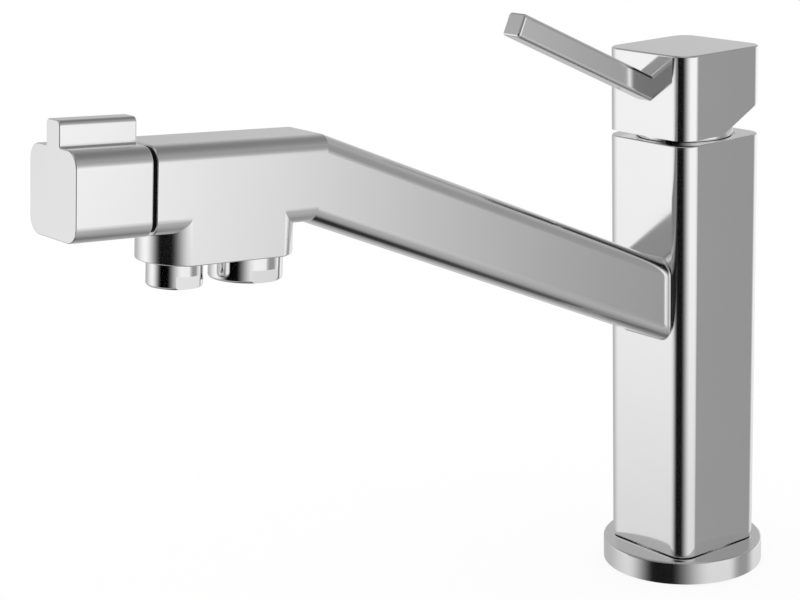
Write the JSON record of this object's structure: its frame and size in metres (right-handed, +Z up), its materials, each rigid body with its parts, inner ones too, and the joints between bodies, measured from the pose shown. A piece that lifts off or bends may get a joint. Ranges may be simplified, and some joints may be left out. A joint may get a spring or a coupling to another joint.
{
  "type": "drinking water filter tap",
  "caption": "Worktop tap with a square column, a rising square spout with two outlets, a lever for mixed water and a turning knob at the spout's end for filtered water.",
  "frame": {"origin": "centre of the base flange's underside, on the worktop", "axes": "+Z up the column, -Y along the spout, +X to the right seen from in front of the spout"},
  "size_m": [0.0616, 0.2981, 0.2225],
  "materials": {
    "satin_metal": "fine satin, soft reflections",
    "polished_metal": "polished, a little dulled",
    "brass": "machined",
    "screw_steel": "machined stainless",
    "tube_steel": "drawn stainless tube",
    "clear_tube": "milky polyethylene",
    "white_plastic": "moulded acetal",
    "grey_plastic": "moulded",
    "black_plastic": "moulded",
    "black_rubber": "moulded seal",
    "ceramic": "lapped alumina ceramic"
  },
  "bodies": {
    "base": {"base_flange": "satin_metal", "base_gasket": "black_rubber", "base_spigot": "brass", "base_screw_1": "screw_steel", "base_screw_2": "screw_steel", "base_screw_3": "screw_steel", "stop_pin": "screw_steel", "retaining_ring": "screw_steel", "slide_ring": "white_plastic"},
    "tap": {"column_shell": "satin_metal", "spout_shell": "satin_metal", "slide_bush": "white_plastic", "thrust_washer": "screw_steel", "valve_body": "brass", "mixed_tube": "tube_steel", "filter_tube": "clear_tube", "mixed_tube_seal_near": "black_rubber", "filter_tube_seal_near": "black_rubber", "mixed_tube_seal_far": "black_rubber", "filter_tube_seal_far": "black_rubber", "cartridge_base": "white_plastic", "port_gasket": "black_rubber", "disc_gasket": "black_rubber", "cartridge_housing": "white_plastic", "ceramic_disc_fixed": "ceramic", "cartridge_nut": "brass", "neck_ring": "polished_metal", "outlet_manifold": "white_plastic", "filter_valve_body": "brass", "filter_valve_seal": "black_rubber", "filter_disc_fixed": "ceramic", "knob_ring": "black_plastic", "mixed_aerator_housing": "polished_metal", "mixed_aerator_insert": "grey_plastic", "mixed_aerator_seal": "black_rubber", "filter_aerator_housing": "polished_metal", "filter_aerator_insert": "grey_plastic", "filter_aerator_seal": "black_rubber"},
    "carrier": {"cartridge_carrier": "white_plastic", "pivot_pin": "screw_steel"},
    "handle": {"cartridge_stem": "brass", "handle_cap": "satin_metal", "handle_lever": "satin_metal", "handle_set_screw": "screw_steel", "screw_plug": "grey_plastic"},
    "mixing_disc": {"ceramic_disc_moving": "ceramic", "disc_driver": "white_plastic"},
    "filter_knob": {"filter_knob": "satin_metal", "filter_valve_spindle": "brass", "filter_disc_moving": "ceramic", "knob_grub_screw": "screw_steel"}
  },
  "joints": [
    {"name": "column_swivel", "type": "hinge", "parent": "base", "child": "tap", "pos_m": [0, 0, 0], "axis": [0, 0, 1], "range_deg": [-60, 60]},
    {"name": "lever_turn", "type": "hinge", "parent": "tap", "child": "carrier", "pos_m": [0, 0, 0], "axis": [0, 0, 1], "range_deg": [-45, 45]},
    {"name": "lever_tilt", "type": "hinge", "parent": "carrier", "child": "handle", "pos_m": [0, 0, 0.152], "axis": [-1, 0, 0], "range_deg": [0, 25]},
    {"name": "disc_slide", "type": "slide", "parent": "carrier", "child": "mixing_disc", "axis": [0, -1, 0], "range_m": [0, 0.00306]},
    {"name": "filter_knob_turn", "type": "hinge", "parent": "tap", "child": "filter_knob", "pos_m": [0, -0.1769, 0.18066], "axis": [0, -0.9962, 0.0872], "range_deg": [0, 90]}
  ],
  "couplings": [
    {"joint": "disc_slide", "follows": "lever_tilt", "m_per_rad": 0.00702}
  ]
}
